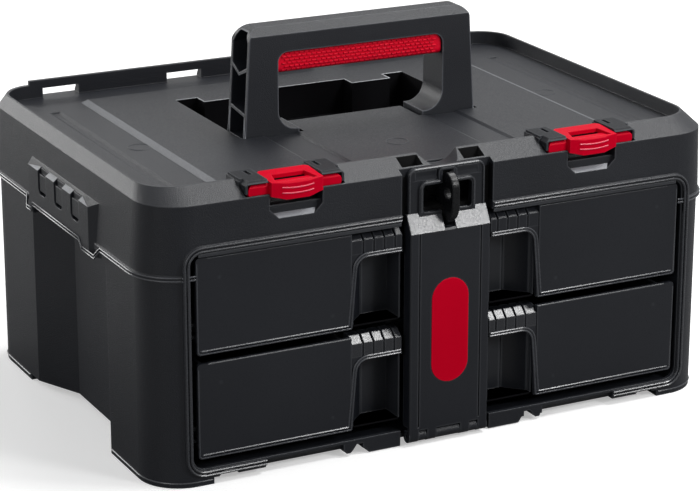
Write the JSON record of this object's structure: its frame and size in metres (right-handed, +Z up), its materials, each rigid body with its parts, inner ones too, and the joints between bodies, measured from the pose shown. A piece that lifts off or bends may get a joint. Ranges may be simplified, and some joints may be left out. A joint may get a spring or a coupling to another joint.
{
  "type": "tool box with drawers",
  "caption": "Portable plastic tool box with sliding drawers behind a lockable front flap, a folding top handle, a rimmed stacking lid and tipping latches.",
  "frame": {"origin": "centre of the whole part's bounding box in plan, on the plane of the feet", "axes": "+X to the right seen from the front, +Y from the flap and drawers towards the back, +Z up"},
  "size_m": [0.486, 0.3564, 0.298],
  "materials": {
    "charcoal_plastic": "fine moulded texture",
    "red_plastic": "satin",
    "black_steel": "black coating",
    "steel": "plain"
  },
  "bodies": {
    "case": {"lower_housing": "charcoal_plastic", "top_cover": "charcoal_plastic", "rail_right_lower": "charcoal_plastic", "rail_right_upper": "charcoal_plastic", "rail_left_lower": "charcoal_plastic", "rail_left_upper": "charcoal_plastic", "rail_screws": "steel", "cover_screws": "steel", "padlock_eye": "black_steel", "flap_hinge_pin": "steel", "handle_pin_right": "steel", "handle_pin_left": "steel", "latch_caps_right": "charcoal_plastic", "latch_caps_left": "charcoal_plastic", "latch_pin_right": "steel", "latch_pin_left": "steel"},
    "lower_drawer": {"drawer_tray_lower": "charcoal_plastic", "drawer_front_lower": "charcoal_plastic", "front_screws_lower": "steel"},
    "upper_drawer": {"drawer_tray_upper": "charcoal_plastic", "drawer_front_upper": "charcoal_plastic", "front_screws_upper": "steel"},
    "flap": {"front_flap": "charcoal_plastic", "flap_inlay": "red_plastic"},
    "handle": {"handle_frame": "charcoal_plastic", "handle_grip": "red_plastic"},
    "right_latch": {"latch_right": "red_plastic"},
    "left_latch": {"latch_left": "red_plastic"}
  },
  "joints": [
    {"name": "lower_drawer_slide", "type": "slide", "parent": "case", "child": "lower_drawer", "axis": [0, -1, 0], "range_m": [0, 0.16]},
    {"name": "upper_drawer_slide", "type": "slide", "parent": "case", "child": "upper_drawer", "axis": [0, -1, 0], "range_m": [0, 0.16]},
    {"name": "flap_hinge", "type": "hinge", "parent": "case", "child": "flap", "pos_m": [0, -0.16575, 0.0075], "axis": [1, 0, 0], "range_deg": [0, 90]},
    {"name": "handle_fold", "type": "hinge", "parent": "case", "child": "handle", "pos_m": [0, -0.01025, 0.203], "axis": [-1, 0, 0], "range_deg": [0, 90]},
    {"name": "right_latch_tip", "type": "hinge", "parent": "case", "child": "right_latch", "pos_m": [0.124, -0.15925, 0.2165], "axis": [1, 0, 0], "range_deg": [0, 75]},
    {"name": "left_latch_tip", "type": "hinge", "parent": "case", "child": "left_latch", "pos_m": [-0.124, -0.15925, 0.2165], "axis": [1, 0, 0], "range_deg": [0, 75]}
  ],
  "couplings": [
    {"joint": "upper_drawer_slide", "follows": "lower_drawer_slide", "ratio": 1},
    {"joint": "flap_hinge", "follows": "lower_drawer_slide", "rad_per_m": 9.817}
  ]
}
